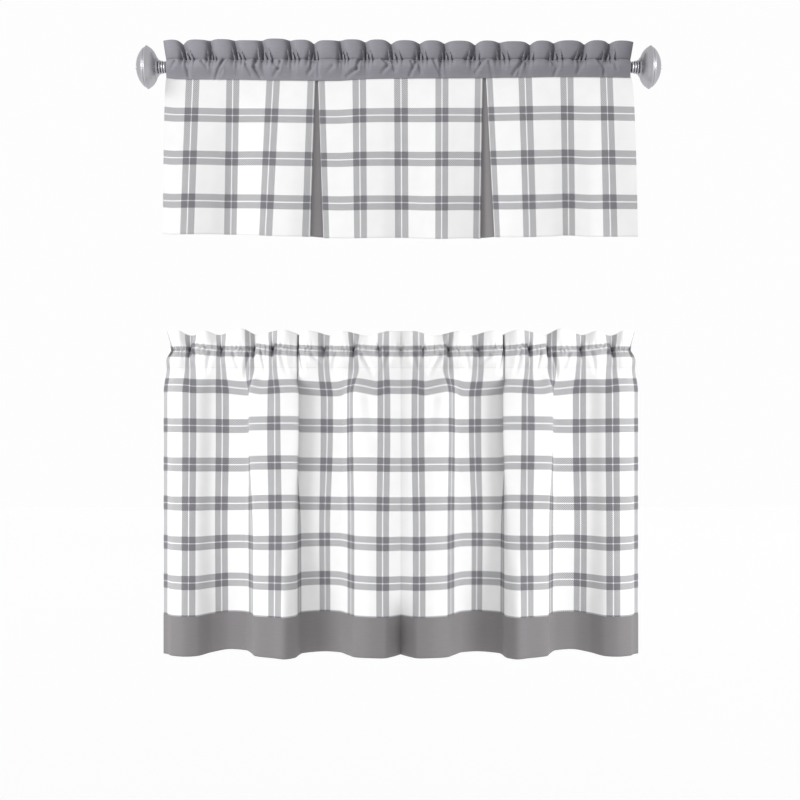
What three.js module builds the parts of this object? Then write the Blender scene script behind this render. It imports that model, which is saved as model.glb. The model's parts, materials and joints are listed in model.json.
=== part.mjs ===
// Kitchen curtain set: a pleated plaid valance with a grey ruffled heading on a metal rod,
// and below it a pair of plaid tiers with ruffled rod-pocket headings and grey borders.
// Millimetres, +Z up. The cloth faces -Y, and "out" is the distance toward that side.
// The origin is the middle of the rod's axis.

import * as THREE from 'three';

// Cloth
const GAP = 0.3;           // clearance between pieces that meet
const LAYER = 1.2;         // one layer of cloth
const DOUBLED = 2.4;       // two layers sewn together
const POCKET_WALL = 1.5;   // one gathered layer round a pocket, measured level

// Rod, collars and finials, turned about the X axis and alike at both ends
const ROD_RADIUS = 8;
const ROD_SIDES = 28;
const COLLAR_START = 437;
const COLLAR_END = 451;
const COLLAR_RINGS = [11, 12.2, 13.4];
const COLLAR_WAIST = 9;
const RING_SHOULDER = 0.25;    // share of a ring's length taken by each rounded shoulder
const TURNED_SIDES = 24;

// Finial outline: distance along from the collar, and radius
const FINIAL_PROFILE = [
  { along: 0, radius: 15.5 },
  { along: 1.4, radius: 17.4 },
  { along: 3, radius: 19 },
  { along: 6.6, radius: 26.9 },
  { along: 12.5, radius: 34.4 },
  { along: 17.5, radius: 38 },
  { along: 20.9, radius: 40 },
  { along: 22.5, radius: 38.8 },
  { along: 24.5, radius: 36.4 },
  { along: 26.5, radius: 36 },
  { along: 31, radius: 31.4 },
  { along: 36, radius: 23.6 },
  { along: 39.6, radius: 14 },
  { along: 41.2, radius: 4 },
  { along: 42.6, radius: 2.9 },
];
const FINIAL_LENGTH = 43.8;

// Valance heading: a strip folded over the rod, sewn along the stitch line and at the lip
const VALANCE_HALF_WIDTH = 436;
const VALANCE_STITCH = 13.7;
const VALANCE_LIP = -23.5;
const VALANCE_LIP_HALF = 3;
const VALANCE_FLARE = 0.012;   // how much wider the ruffle's free edge spreads
const VALANCE_TUNNEL = [
  { out: 0, up: 11.8 },
  { out: 7.4, up: 4.6 },
  { out: 8.9, up: -1.5 },
  { out: 6.4, up: -7.5 },
  { out: 0, up: -19.8 },
];

// The puffs of the valance's ruffle, left to right: where each begins, the height of the
// dip there, and the height of its crest
const PUFFS = [
  { from: -436, dip: 47.7, crest: 50.3 },
  { from: -400, dip: 41.4, crest: 50.8 },
  { from: -349, dip: 47.6, crest: 51.5 },
  { from: -304, dip: 47.8, crest: 49.2 },
  { from: -253, dip: 47.6, crest: 52.6 },
  { from: -202, dip: 47.6, crest: 50.5 },
  { from: -157, dip: 42.8, crest: 49.4 },
  { from: -108, dip: 48.2, crest: 51.1 },
  { from: -62, dip: 46.2, crest: 50.9 },
  { from: -14, dip: 42.5, crest: 49.6 },
  { from: 39, dip: 43.2, crest: 49.3 },
  { from: 85, dip: 43.6, crest: 48.6 },
  { from: 142, dip: 40.7, crest: 48.9 },
  { from: 187, dip: 43.5, crest: 47.6 },
  { from: 244, dip: 41, crest: 48.9 },
  { from: 288, dip: 42.6, crest: 49.3 },
  { from: 345, dip: 41.8, crest: 49.5 },
  { from: 391, dip: 43.3, crest: 48.8 },
];
const PUFF_END = { dip: 45 };

// Sections of one puff: how far through it, how far it stands out at the ruffle's edge,
// the share of its crest's height, and how far the pocket below swells
const PUFF_STEPS = [
  { part: 0, out: -2, rise: 0, swell: 0 },
  { part: 0.2, out: 6.5, rise: 0.64, swell: 0.9 },
  { part: 0.38, out: 11.5, rise: 0.98, swell: 1.5 },
  { part: 0.62, out: 11.5, rise: 0.98, swell: 1.5 },
  { part: 0.8, out: 6.5, rise: 0.64, swell: 0.9 },
];

// Valance panels below the lip. A row is a fold line: its place on the flat cloth, where it
// lies at the top and at the hem, how far out it stands at the hem, and how much lower it
// hangs there.
const VALANCE_DROP = 294;
const PANEL_TOP_OUT = 2;
const RETURN_TOP_OUT = 0.4;
const RETURN_WIDTH = 14;       // how far a turned-back edge reaches behind its panel
const RETURN_DEPTH = 3.4;       // how far behind the panel it lies at the hem
const RETURN_TURN = 4;         // cloth taken up by the turn itself
const RETURN_NOSE = 0.8;       // how far the turn is drawn in from the panel's edge
const PANEL_SWING = 1.5;       // how fast a panel swings out below the lip
const PANELS = {
  left: {
    drop: -1,
    turnBack: 'end',
    folds: [
      { flat: 0, top: -435.5, hem: -443, out: 2, low: -4.3 },
      { flat: 50, top: -386.5, hem: -396, out: 13, low: -2.1 },
      { flat: 90, top: -349, hem: -356.5, out: 4, low: -3.1 },
      { flat: 131, top: -311.5, hem: -317, out: -9, low: -4 },
      { flat: 171, top: -274, hem: -283, out: 8, low: -1.4 },
      { flat: 212, top: -236, hem: -248.5, out: 24, low: 1.8 },
      { flat: 252, top: -197, hem: -208, out: 27, low: 3.8 },
      { flat: 294.5, top: -158, hem: -166, out: 19, low: 3 },
    ],
  },
  middle: {
    drop: 2,
    turnBack: 'both',
    folds: [
      { flat: 0, top: -149.5, hem: -139, out: 17, low: 2.1 },
      { flat: 40, top: -112, hem: -105.5, out: 21, low: 3.4 },
      { flat: 79, top: -74.5, hem: -71.5, out: 24, low: 3.7 },
      { flat: 120, top: -35, hem: -33, out: 21, low: 2.9 },
      { flat: 161, top: 4.5, hem: 6, out: 11, low: 1.3 },
      { flat: 201, top: 43, hem: 44, out: 15, low: 3.5 },
      { flat: 242, top: 81.5, hem: 80, out: 22, low: 4.7 },
      { flat: 283.5, top: 119, hem: 116.5, out: 15, low: 2.8 },
      { flat: 324.9, top: 157, hem: 152.5, out: 5, low: 1.8 },
    ],
  },
  right: {
    drop: -1,
    turnBack: 'start',
    folds: [
      { flat: 0, top: 166, hem: 181, out: 11, low: 2.4 },
      { flat: 40, top: 201, hem: 211, out: 20, low: 4.5 },
      { flat: 80, top: 237.5, hem: 244, out: 25, low: 4.7 },
      { flat: 120, top: 277, hem: 283, out: 22, low: 3.5 },
      { flat: 161.5, top: 316.5, hem: 318.5, out: 13, low: 0.2 },
      { flat: 202.5, top: 354, hem: 357, out: 10, low: 2.4 },
      { flat: 243.5, top: 391.5, hem: 396.5, out: 19, low: 3.2 },
      { flat: 294.5, top: 435.5, hem: 447.5, out: 13, low: 2.7 },
    ],
  },
};
const PANEL_LEVELS = [0, 0.12, 0.3, 0.5, 0.75, 1];
const PANEL_STEPS = 2;     // sections from one fold line to the next

// Grey insets behind the two slits, sewn to the panels' turned-back edges
const INSET_TOP_OUT = -1.4;
const INSETS = {
  left: [
    { flat: 0, top: -184, hem: -188, out: 13, low: -0.6 },
    { flat: 34, top: -166, hem: -160, out: 12.5, low: 1.6 },
    { flat: 56, top: -148, hem: -140, out: 9, low: 2.7 },
    { flat: 82, top: -124, hem: -115, out: 9, low: 2.2 },
  ],
  right: [
    { flat: 0, top: 132, hem: 129, out: -1, low: 1 },
    { flat: 28, top: 152, hem: 154, out: -2.5, low: 2.1 },
    { flat: 50, top: 170, hem: 176, out: 2, low: 0.8 },
    { flat: 78, top: 192, hem: 206, out: 6, low: -0.9 },
  ],
};

// Tiers, mirror images about their meeting line. Heights are below the origin.
const TIER_CENTRE = 4.3;
const TIER_STITCH = -531.5;
const TIER_POCKET_AXIS = -547;
const TIER_LIP = -564.5;
const TIER_LENGTH = 537.5;     // lip to hem, at the shortest fold
const BORDER_HEIGHT = 73.5;
const TIER_SETTLE = 50;        // distance below the lip where the folds are fully formed
const TIER_SOFTEN = { from: 120, to: 310 };    // where the upper pleats open into the hem's waves
const TIER_DEEPEN = { from: 270, to: 480 };    // where those waves grow to their full depth
const TIER_FALL = { from: 250, to: 330 };      // where the lower part's own fall sets in
const TIER_END_SPREAD = { by: 8.8, reach: 26 };  // the outer end spreads beyond the stitches
const TIER_TUNNEL = [
  { out: 0, up: 13 },
  { out: 4.8, up: 6.5 },
  { out: 5.8, up: 0 },
  { out: 4.8, up: -7 },
  { out: 0, up: -14.5 },
];

// Folds of a tier from its outer edge inward: place on the flat cloth, distance from the
// meeting line at the gathered heading, distance and how far out in the upper body and at
// the hem, how much lower the lower part hangs, and the hem's drop beyond that
const TIER_FOLDS = [
  { flat: 0, head: 431.5, body: 449.5, out: -20, hem: 449.5, hemOut: -20, fall: 1.2, drop: 1.8 },
  { flat: 13, head: 426.5, body: 440.5, out: -12, hem: 440.5, hemOut: -12, fall: 1.2, drop: 1.5 },
  { flat: 37.5, head: 416, body: 429, out: 5, hem: 430, hemOut: 5.5, fall: 1.2, drop: 1 },
  { flat: 64, head: 404, body: 405.5, out: 10, hem: 406.5, hemOut: 13.5, fall: 1.8, drop: 0.8 },
  { flat: 88.5, head: 383, body: 382, out: 4.5, hem: 383.5, hemOut: 6.5, fall: 2.5, drop: 0.5 },
  { flat: 128, head: 352, body: 354.5, out: -11.5, hem: 356, hemOut: -17.5, fall: 2.2, drop: -2.4 },
  { flat: 162, head: 327, body: 323, out: -17, hem: 326, hemOut: -27, fall: 1.2, drop: -5 },
  { flat: 195.5, head: 300.5, body: 287.5, out: -13, hem: 294, hemOut: -21, fall: 0.5, drop: -3.3 },
  { flat: 220, head: 284, body: 285.2, out: 6, hem: 280.5, hemOut: 2, fall: 0, drop: -1.5 },
  { flat: 246.5, head: 267.5, body: 281.5, out: 21, hem: 271.5, hemOut: 23.5, fall: -0.6, drop: 0 },
  { flat: 293.5, head: 241, body: 234.5, out: 23, hem: 234, hemOut: 35, fall: -1.3, drop: 2.8 },
  { flat: 310, head: 228.5, body: 221, out: 22, hem: 218.5, hemOut: 40, fall: -1.5, drop: 3.8 },
  { flat: 342, head: 204, body: 191, out: 17, hem: 198, hemOut: 22.5, fall: -2, drop: 5.2 },
  { flat: 352, head: 196.5, body: 193.5, out: 9, hem: 194.3, hemOut: 10, fall: -2.2, drop: 5.7 },
  { flat: 361, head: 194.3, body: 199, out: 0, hem: 192.5, hemOut: -1.5, fall: -2.5, drop: 6 },
  { flat: 371, head: 193, body: 203, out: -5, hem: 191, hemOut: -11, fall: -2.7, drop: 6.2 },
  { flat: 384, head: 189.5, body: 194, out: -7, hem: 186.5, hemOut: -17.5, fall: -3.8, drop: 6 },
  { flat: 440, head: 144.5, body: 139, out: -10, hem: 143.5, hemOut: -25.5, fall: -4.3, drop: 4.4 },
  { flat: 477.5, head: 115.5, body: 111, out: -7.5, hem: 115.5, hemOut: -16.5, fall: -4.3, drop: 4.5 },
  { flat: 500, head: 99, body: 101, out: 0, hem: 100, hemOut: -1.5, fall: -2.5, drop: 4.8 },
  { flat: 528.5, head: 77, body: 87.5, out: 21, hem: 85, hemOut: 21.5, fall: -1.5, drop: 3.7 },
  { flat: 560, head: 53.5, body: 56, out: 27, hem: 57.3, hemOut: 30.5, fall: -0.6, drop: 2.6 },
  { flat: 590.5, head: 30, body: 28, out: 25.5, hem: 30.5, hemOut: 28.5, fall: 0.8, drop: 2.2 },
  { flat: 607, head: 15, body: 13, out: 25, hem: 15, hemOut: 26, fall: 0.6, drop: 1.9 },
  { flat: 623, head: 0.7, body: 0.7, out: 24, hem: 0.7, hemOut: 24, fall: 0, drop: 2.2 },
];
const FOLD_STEPS = 2;

// How far a tier's meeting edge turns back over its border
const TIER_TURNS = [
  { flat: 0, back: 0 },
  { flat: 560, back: 0 },
  { flat: 590.5, back: 1.5 },
  { flat: 607, back: 12 },
  { flat: 623, back: 30 },
];
const TIER_TURN = { from: 415, to: 500 };
const TIER_LEVELS = [0, 0.03, 0.065, 0.11, 0.26, 0.42, 0.56, 0.7, 0.87, 1];
const HEM_POWER = 5;           // how late the drop of each fold shows on the way down

// Ripples of a tier's ruffle along the flat cloth: how far out, and its free edge's height
const RIPPLES = [
  { flat: 0, out: 0, top: 32.5 },
  { flat: 37, out: 6, top: 35.5 },
  { flat: 77, out: -5.2, top: 26.5 },
  { flat: 107, out: 5.2, top: 35 },
  { flat: 141, out: -4.5, top: 27.5 },
  { flat: 195, out: 6, top: 39.5 },
  { flat: 241, out: -6, top: 28 },
  { flat: 323, out: 5.2, top: 36.5 },
  { flat: 367, out: -6.8, top: 28 },
  { flat: 406, out: 6, top: 35.5 },
  { flat: 457, out: -5.2, top: 26.5 },
  { flat: 485, out: 3.8, top: 34.5 },
  { flat: 547, out: -5.2, top: 26.5 },
  { flat: 602, out: 4.5, top: 34.5 },
  { flat: 623, out: 1.5, top: 34.5 },
];
const RIPPLE_STEPS = 3;
const PUFF_STITCH_SHARE = 0.17;    // share of a puff left at the valance's stitch line
const STITCH_SHARE = 0.3;      // share of a ripple left at the gathering stitches
const LIP_SHARE = 0.4;         // share left at the pocket's lower seam
const SWELL_SHARE = 0.28;      // share by which a ripple swells the pocket

const greyCloth = { color: '#86848a', roughness: 0.85, metalness: 0 };
const plaidCloth = { color: '#f1f1f2', roughness: 0.9, metalness: 0 };
const nickel = { color: '#b6b6ba', roughness: 0.28, metalness: 1 };

const curtainSet = new THREE.Group();

function addPiece(name, geometry, finish) {
  const mesh = new THREE.Mesh(geometry, new THREE.MeshStandardMaterial(finish));
  mesh.name = name;
  curtainSet.add(mesh);
  return mesh;
}

// A smooth curve through one column of a fold table, by place on the flat cloth. Slopes are
// harmonic means, so a fold never swings past the rows that set it.
function column(rows, key) {
  const rise = rows.slice(1).map((row, i) => (row[key] - rows[i][key]) / (row.flat - rows[i].flat));
  const slope = rows.map((row, i) => {
    const before = rise[Math.max(i - 1, 0)];
    const after = rise[Math.min(i, rise.length - 1)];
    return before * after > 0 ? (2 * before * after) / (before + after) : 0;
  });
  return (flat) => {
    const next = rows.findIndex((row) => row.flat >= flat);
    const i = Math.max((next < 0 ? rows.length : next) - 1, 0);
    const span = rows[i + 1].flat - rows[i].flat;
    const t = (flat - rows[i].flat) / span;
    const bend = t * (1 - t) * span;
    const blend = t * t * (3 - 2 * t);
    return rows[i][key] * (1 - blend) + rows[i + 1][key] * blend
      + bend * ((1 - t) * slope[i] - t * slope[i + 1]);
  };
}

// 0 before a range, 1 past it, and a smooth rise between
function fade(range, at) {
  return THREE.MathUtils.smoothstep(at, range.from, range.to);
}

// Places on the flat cloth: every row of a table, with even steps between rows
function stationsOf(rows, steps) {
  const places = [];
  for (let i = 0; i + 1 < rows.length; i += 1) {
    for (let k = 0; k < steps; k += 1) {
      places.push(rows[i].flat + ((rows[i + 1].flat - rows[i].flat) * k) / steps);
    }
  }
  places.push(rows[rows.length - 1].flat);
  return places;
}

function closedGeometry(points, triangles) {
  const geometry = new THREE.BufferGeometry();
  geometry.setAttribute('position', new THREE.Float32BufferAttribute(points.flat(), 3));
  geometry.setIndex(triangles.flat());
  geometry.computeVertexNormals();
  return geometry;
}

// A hung sheet: a grid of points [x, out, z] down from its top edge, given a level thickness
// on both sides of each row's line and closed round its edges
function sheetGeometry(grid, thickness) {
  const columns = grid[0].length;
  const points = [];
  for (const side of [1, -1]) {
    for (const row of grid) {
      row.forEach(([x, out, z], i) => {
        const before = row[Math.max(i - 1, 0)];
        const after = row[Math.min(i + 1, columns - 1)];
        const along = new THREE.Vector2(after[0] - before[0], after[1] - before[1]).normalize();
        const shift = (side * thickness) / 2;
        points.push([x - along.y * shift, -(out + along.x * shift), z]);
      });
    }
  }
  const layer = grid.length * columns;
  const triangles = [];
  const quad = (a, b, c, d) => triangles.push([a, b, c], [a, c, d]);
  for (let j = 0; j + 1 < grid.length; j += 1) {
    for (let i = 0; i + 1 < columns; i += 1) {
      const a = j * columns + i;
      quad(a, a + columns, a + columns + 1, a + 1);
      quad(layer + a, layer + a + 1, layer + a + columns + 1, layer + a + columns);
    }
  }
  const last = (grid.length - 1) * columns;
  for (let i = 0; i + 1 < columns; i += 1) {
    quad(i, i + 1, layer + i + 1, layer + i);
    quad(last + i, layer + last + i, layer + last + i + 1, last + i + 1);
  }
  for (let j = 0; j + 1 < grid.length; j += 1) {
    const a = j * columns;
    const b = a + columns - 1;
    quad(a, layer + a, layer + a + columns, a + columns);
    quad(b, b + columns, layer + b + columns, layer + b);
  }
  return closedGeometry(points, triangles);
}

// One section across a heading, as loops of [out, up]: the doubled ruffle on top, the rod
// pocket round its tunnel, and the sewn lip below
function headingSection(pocket, wave) {
  const half = DOUBLED / 2;
  const walls = pocket.tunnel.slice(1, -1);
  const tip = pocket.tunnel[0];
  const foot = pocket.tunnel[pocket.tunnel.length - 1];
  const middle = (wave.top + pocket.stitch) / 2;
  const side = (s) => [
    [wave.ruffle + s * half, wave.top],
    [(wave.ruffle + wave.stitch) / 2 + s * half, middle],
    [wave.stitch + s * half, pocket.stitch],
    ...walls.map((row) => [s * (row.out + wave.swell + POCKET_WALL), pocket.axis + row.up]),
    [wave.lip + s * pocket.lipHalf, pocket.lip],
  ];
  const tunnelSide = (s) => walls.map((row) => [s * (row.out + wave.swell), pocket.axis + row.up]);
  return {
    outer: [...side(1), ...side(-1).reverse()],
    inner: [
      [wave.stitch, pocket.axis + tip.up],
      ...tunnelSide(1),
      [wave.lip, pocket.axis + foot.up],
      ...tunnelSide(-1).reverse(),
    ],
  };
}

// A heading swept from section to section along X, with its tunnel open at both ends.
// The ruffle's free edge spreads by each station's own amount.
function headingGeometry(pocket, stations, mirrored) {
  const points = [];
  const triangles = [];
  const face = (a, b, c) => triangles.push(mirrored ? [a, c, b] : [a, b, c]);
  const loops = stations.map(({ x, spread, wave }) => {
    const section = headingSection(pocket, wave);
    const place = ([out, up]) => {
      const rise = Math.max(0, up - pocket.stitch) / (wave.top - pocket.stitch);
      points.push([x + spread * rise, -out, up]);
      return points.length - 1;
    };
    return { section, outer: section.outer.map(place), inner: section.inner.map(place) };
  });
  const skin = (from, to, facingIn) => {
    from.forEach((a, i) => {
      const k = (i + 1) % from.length;
      const [p, q, r, s] = facingIn ? [from[k], a, to[i], to[k]] : [a, from[k], to[k], to[i]];
      face(p, q, r);
      face(p, r, s);
    });
  };
  for (let n = 0; n + 1 < loops.length; n += 1) {
    skin(loops[n].outer, loops[n + 1].outer, false);
    skin(loops[n].inner, loops[n + 1].inner, true);
  }
  const cap = (loop, flipped) => {
    const flat = (list) => list.map(([out, up]) => new THREE.Vector2(out, up));
    const index = [...loop.outer, ...loop.inner];
    const cut = THREE.ShapeUtils.triangulateShape(flat(loop.section.outer), [flat(loop.section.inner)]);
    for (const [a, b, c] of cut) {
      if (flipped) face(index[a], index[c], index[b]);
      else face(index[a], index[b], index[c]);
    }
  };
  cap(loops[0], false);
  cap(loops[loops.length - 1], true);
  return closedGeometry(points, triangles);
}

// Rod, collars and finials
function addRod() {
  const rod = addPiece(
    'rod',
    new THREE.CylinderGeometry(ROD_RADIUS, ROD_RADIUS, 2 * (COLLAR_START - GAP), ROD_SIDES),
    nickel,
  );
  rod.rotation.z = Math.PI / 2;

  const pitch = (COLLAR_END - COLLAR_START) / COLLAR_RINGS.length;
  const collarProfile = [new THREE.Vector2(0, COLLAR_START)];
  COLLAR_RINGS.forEach((radius, i) => {
    const start = COLLAR_START + i * pitch;
    collarProfile.push(new THREE.Vector2(COLLAR_WAIST, start));
    collarProfile.push(new THREE.Vector2(radius, start + pitch * RING_SHOULDER));
    collarProfile.push(new THREE.Vector2(radius, start + pitch * (1 - RING_SHOULDER)));
  });
  collarProfile.push(new THREE.Vector2(COLLAR_WAIST, COLLAR_END));
  collarProfile.push(new THREE.Vector2(0, COLLAR_END));

  const finialStart = COLLAR_END + GAP;
  const finialProfile = [
    new THREE.Vector2(0, finialStart),
    ...FINIAL_PROFILE.map((row) => new THREE.Vector2(row.radius, finialStart + row.along)),
    new THREE.Vector2(0, finialStart + FINIAL_LENGTH),
  ];
  for (const [end, turn] of [['left', 1], ['right', -1]]) {
    const collar = addPiece(`collar_${end}`, new THREE.LatheGeometry(collarProfile, TURNED_SIDES), nickel);
    const finial = addPiece(`finial_${end}`, new THREE.LatheGeometry(finialProfile, TURNED_SIDES), nickel);
    collar.rotation.z = (turn * Math.PI) / 2;
    finial.rotation.z = (turn * Math.PI) / 2;
  }
}

function addValanceHeading() {
  const pocket = {
    axis: 0,
    stitch: VALANCE_STITCH,
    lip: VALANCE_LIP,
    lipHalf: VALANCE_LIP_HALF,
    tunnel: VALANCE_TUNNEL,
  };
  const stations = [];
  PUFFS.forEach((puff, i) => {
    const next = PUFFS[i + 1] ?? { ...PUFF_END, from: VALANCE_HALF_WIDTH };
    for (const step of PUFF_STEPS) {
      const dip = puff.dip + (next.dip - puff.dip) * step.part;
      const x = puff.from + (next.from - puff.from) * step.part;
      stations.push({
        x,
        spread: x * VALANCE_FLARE,
        wave: {
          ruffle: step.out,
          top: dip + (puff.crest - dip) * step.rise,
          stitch: step.out * PUFF_STITCH_SHARE,
          swell: step.swell,
          lip: 0,
        },
      });
    }
  });
  const end = { ruffle: 0, top: PUFF_END.dip, stitch: 0, swell: 0, lip: 0 };
  stations.push({ x: VALANCE_HALF_WIDTH, spread: VALANCE_HALF_WIDTH * VALANCE_FLARE, wave: end });
  addPiece('valance_heading', headingGeometry(pocket, stations, false), greyCloth);
}

// Rows for an edge that is turned back behind its panel at a slit
function turnedBack(edge, flatSide, inward) {
  const row = (flat, shift, depth, topOut) => ({
    flat: edge.flat + flatSide * flat,
    top: edge.top + inward * shift,
    hem: edge.hem + inward * shift,
    out: edge.out - depth,
    low: edge.low,
    topOut,
  });
  return [
    row(RETURN_TURN, RETURN_NOSE, RETURN_DEPTH / 2, (PANEL_TOP_OUT + RETURN_TOP_OUT) / 2),
    row(RETURN_TURN + RETURN_WIDTH, RETURN_WIDTH, RETURN_DEPTH, RETURN_TOP_OUT),
  ];
}

// Points of a valance sheet: it leaves the lip flat and swings out into its folds
function valanceGrid(folds, drop) {
  const top = column(folds, 'top');
  const hem = column(folds, 'hem');
  const out = column(folds, 'out');
  const topOut = column(folds, 'topOut');
  const low = column(folds, 'low');
  const stations = stationsOf(folds, PANEL_STEPS);
  return PANEL_LEVELS.map((level) => {
    const swing = level * (PANEL_SWING + (1 - PANEL_SWING) * level);
    return stations.map((flat) => [
      top(flat) + (hem(flat) - top(flat)) * level,
      topOut(flat) + (out(flat) - topOut(flat)) * swing,
      VALANCE_LIP - GAP - (VALANCE_DROP + drop + low(flat)) * level,
    ]);
  });
}

function addValancePanels() {
  for (const [place, panel] of Object.entries(PANELS)) {
    const folds = panel.folds.map((row) => ({ ...row, topOut: PANEL_TOP_OUT }));
    const first = folds[0];
    const last = folds[folds.length - 1];
    if (panel.turnBack !== 'end') folds.unshift(...turnedBack(first, -1, 1).reverse());
    if (panel.turnBack !== 'start') folds.push(...turnedBack(last, 1, -1));
    addPiece(`valance_panel_${place}`, sheetGeometry(valanceGrid(folds, panel.drop), LAYER), plaidCloth);
  }
  for (const [place, rows] of Object.entries(INSETS)) {
    const folds = rows.map((row) => ({ ...row, topOut: INSET_TOP_OUT }));
    addPiece(`pleat_inset_${place}`, sheetGeometry(valanceGrid(folds, 0), LAYER), greyCloth);
  }
}

function addTier(place, hand) {
  const mirrored = hand > 0;
  const fold = {};
  for (const key of ['head', 'body', 'out', 'hem', 'hemOut', 'fall', 'drop']) {
    fold[key] = column(TIER_FOLDS, key);
  }
  const endSpread = (flat) => TIER_END_SPREAD.by * Math.exp(-((flat / TIER_END_SPREAD.reach) ** 2));
  const turn = column(TIER_TURNS, 'back');
  const ripple = { out: column(RIPPLES, 'out'), top: column(RIPPLES, 'top') };
  const pocket = {
    axis: TIER_POCKET_AXIS,
    stitch: TIER_STITCH,
    lip: TIER_LIP,
    lipHalf: DOUBLED / 2,
    tunnel: TIER_TUNNEL,
  };
  const stations = stationsOf(RIPPLES, RIPPLE_STEPS).map((flat) => ({
    x: TIER_CENTRE + hand * fold.head(flat),
    spread: hand * endSpread(flat),
    wave: {
      ruffle: ripple.out(flat),
      top: TIER_STITCH + ripple.top(flat),
      stitch: ripple.out(flat) * STITCH_SHARE,
      swell: Math.max(0, ripple.out(flat) * SWELL_SHARE),
      lip: ripple.out(flat) * LIP_SHARE,
    },
  }));
  addPiece(`tier_heading_${place}`, headingGeometry(pocket, stations, mirrored), plaidCloth);

  const places = stationsOf(TIER_FOLDS, FOLD_STEPS);
  const rowAt = (below) => {
    const settled = fade({ from: 0, to: TIER_SETTLE }, below);
    const soft = fade(TIER_SOFTEN, below);
    const deep = fade(TIER_DEEPEN, below);
    const turned = fade(TIER_TURN, below);
    const fallen = fade(TIER_FALL, below);
    return places.map((flat) => {
      const start = fold.head(flat) + endSpread(flat);
      const distance = fold.body(flat) + (fold.hem(flat) - fold.body(flat)) * soft;
      const wave = fold.out(flat) + (fold.hemOut(flat) - fold.out(flat)) * deep;
      const out = wave - turn(flat) * turned;
      const lip = ripple.out(flat) * LIP_SHARE;
      const drop = fold.drop(flat) * (below / TIER_LENGTH) ** HEM_POWER;
      return [
        TIER_CENTRE + hand * (start + (distance - start) * settled),
        lip + (out - lip) * settled,
        TIER_LIP - GAP - below - fold.fall(flat) * fallen - drop,
      ];
    });
  };
  const panelLength = TIER_LENGTH - BORDER_HEIGHT;
  const panelGrid = TIER_LEVELS.map((level) => rowAt(panelLength * level));
  const borderGrid = [GAP, BORDER_HEIGHT / 2, BORDER_HEIGHT].map((below) => rowAt(panelLength + below));
  addPiece(`tier_panel_${place}`, sheetGeometry(panelGrid, LAYER), plaidCloth);
  addPiece(`tier_border_${place}`, sheetGeometry(borderGrid, LAYER), greyCloth);
}

addRod();
addValanceHeading();
addValancePanels();
addTier('left', -1);
addTier('right', 1);

export default curtainSet;
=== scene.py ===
import json
import math

import bpy
import numpy as np
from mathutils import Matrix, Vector

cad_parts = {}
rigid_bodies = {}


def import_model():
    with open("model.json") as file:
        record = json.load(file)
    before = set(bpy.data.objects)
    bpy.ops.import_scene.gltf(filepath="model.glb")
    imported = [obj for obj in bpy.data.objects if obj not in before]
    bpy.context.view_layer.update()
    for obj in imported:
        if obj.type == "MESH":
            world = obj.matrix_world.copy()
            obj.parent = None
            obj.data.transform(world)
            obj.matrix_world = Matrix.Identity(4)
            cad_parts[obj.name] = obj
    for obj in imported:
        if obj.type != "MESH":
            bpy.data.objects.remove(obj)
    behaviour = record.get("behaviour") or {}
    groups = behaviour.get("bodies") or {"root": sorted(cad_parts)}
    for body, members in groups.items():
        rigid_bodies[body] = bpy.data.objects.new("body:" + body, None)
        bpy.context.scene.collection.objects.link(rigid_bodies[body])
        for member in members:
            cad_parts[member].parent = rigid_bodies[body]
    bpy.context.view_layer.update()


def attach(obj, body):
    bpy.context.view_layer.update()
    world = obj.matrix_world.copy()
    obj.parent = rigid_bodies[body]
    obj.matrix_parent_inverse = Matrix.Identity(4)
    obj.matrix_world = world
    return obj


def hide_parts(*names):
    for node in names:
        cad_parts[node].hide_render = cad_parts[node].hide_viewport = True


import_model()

# Kitchen curtain set. Sizes are millimetres in the frame's own axes, "out" is toward the
# viewer (world -Y), and "flat" is a place on the cloth before it was gathered.
mm = 0.001
scene = bpy.context.scene


# camera, light and floor

view = dict(
    pixel=1.88,             # millimetres of cloth across one pixel
    image=800,
    aimX=2.6, aimZ=-625.5,  # what the middle of the picture looks at
    distance=2400,
    sensor=36,
)
camera = bpy.data.objects.new("viewCamera", bpy.data.cameras.new("viewCamera"))
camera.data.sensor_width = view["sensor"]
camera.data.lens = view["sensor"] * view["distance"] / (view["pixel"] * view["image"])
camera.location = (view["aimX"] * mm, -view["distance"] * mm, view["aimZ"] * mm)
camera.rotation_euler = (math.pi / 2, 0, 0)
scene.collection.objects.link(camera)
scene.camera = camera
scene.view_settings.view_transform = "Standard"
print("camera", round(camera.data.lens, 1), "mm")


def linear(code):
    # sRGB hex to the linear colour that a socket takes
    parts = [int(code[i:i + 2], 16) / 255 for i in (1, 3, 5)]
    return [c / 12.92 if c <= 0.04045 else ((c + 0.055) / 1.055) ** 2.4 for c in parts] + [1]


def wire(tree, node, links):
    # each socket takes a link from another node, or a value
    for socket, value in links.items():
        if isinstance(value, bpy.types.NodeSocket):
            tree.links.new(value, node.inputs[socket])
        else:
            node.inputs[socket].default_value = value


def put(tree, kind, links=None, **settings):
    # a new node, with its settings and links
    node = tree.nodes.new(kind)
    for name, value in settings.items():
        setattr(node, name, value)
    wire(tree, node, links or {})
    return node


def maths(tree, operation, first, second, **settings):
    return put(tree, "ShaderNodeMath", {0: first, 1: second}, operation=operation, **settings).outputs[0]


def toned(tree, value, *stops):
    # runs through colours as a value rises; a stop is a place and a colour
    ramp = put(tree, "ShaderNodeValToRGB", {"Fac": value})
    elements = ramp.color_ramp.elements
    for element, (place, colour) in zip(elements, (stops[0], stops[-1])):
        element.position = place
        element.color = colour
    for place, colour in stops[1:-1]:
        elements.new(place).color = colour
    return ramp.outputs["Color"]


def blank(name):
    # a new material, with its node tree and shader
    material = bpy.data.materials.new(name)
    material.use_nodes = True
    return material, material.node_tree, material.node_tree.nodes["Principled BSDF"]


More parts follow.
